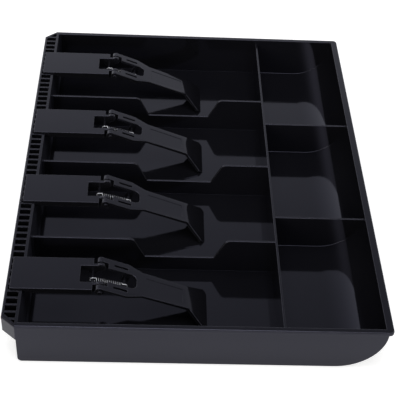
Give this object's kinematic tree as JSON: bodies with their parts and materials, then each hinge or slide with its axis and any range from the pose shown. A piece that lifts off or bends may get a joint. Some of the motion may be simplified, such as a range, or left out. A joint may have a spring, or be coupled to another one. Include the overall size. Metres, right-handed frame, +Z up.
{
  "type": "cash drawer insert",
  "caption": "Moulded till tray with note bays held by hinged spring clips on a socketed rear ledge, scooped coin cups and notched dividers.",
  "frame": {"origin": "under the middle of the tray's overall outline, on the plane of its base", "axes": "+X across the tray to the right as seen from the coin cups, +Y from the coin cups to the clips, +Z up"},
  "size_m": [0.325, 0.245, 0.0371],
  "materials": {
    "tray_plastic": "satin black moulded plastic",
    "clip_plastic": "satin black moulded plastic",
    "spring_steel": "bright spring wire"
  },
  "bodies": {
    "till": {"tray": "tray_plastic", "clip_base_1": "clip_plastic", "clip_base_2": "clip_plastic", "clip_base_3": "clip_plastic", "clip_base_4": "clip_plastic", "clip_spring_1": "spring_steel", "clip_spring_2": "spring_steel", "clip_spring_3": "spring_steel", "clip_spring_4": "spring_steel"},
    "lever_1": {"clip_lever_1": "clip_plastic"},
    "lever_2": {"clip_lever_2": "clip_plastic"},
    "lever_3": {"clip_lever_3": "clip_plastic"},
    "lever_4": {"clip_lever_4": "clip_plastic"}
  },
  "joints": [
    {"name": "clip_1_lift", "type": "hinge", "parent": "till", "child": "lever_1", "pos_m": [-0.1179, 0.0627, 0.0339], "axis": [-1, 0, 0], "range_deg": [0, 135], "stiffness_Nm_per_rad": 0.02, "springref_deg": -51.57, "deforming": ["clip_spring_1"]},
    {"name": "clip_2_lift", "type": "hinge", "parent": "till", "child": "lever_2", "pos_m": [-0.036, 0.0627, 0.0339], "axis": [-1, 0, 0], "range_deg": [0, 135], "stiffness_Nm_per_rad": 0.02, "springref_deg": -51.57, "deforming": ["clip_spring_2"]},
    {"name": "clip_3_lift", "type": "hinge", "parent": "till", "child": "lever_3", "pos_m": [0.04005, 0.0627, 0.0339], "axis": [-1, 0, 0], "range_deg": [0, 135], "stiffness_Nm_per_rad": 0.02, "springref_deg": -51.57, "deforming": ["clip_spring_3"]},
    {"name": "clip_4_lift", "type": "hinge", "parent": "till", "child": "lever_4", "pos_m": [0.1161, 0.0627, 0.0339], "axis": [-1, 0, 0], "range_deg": [0, 135], "stiffness_Nm_per_rad": 0.02, "springref_deg": -51.57, "deforming": ["clip_spring_4"]}
  ]
}
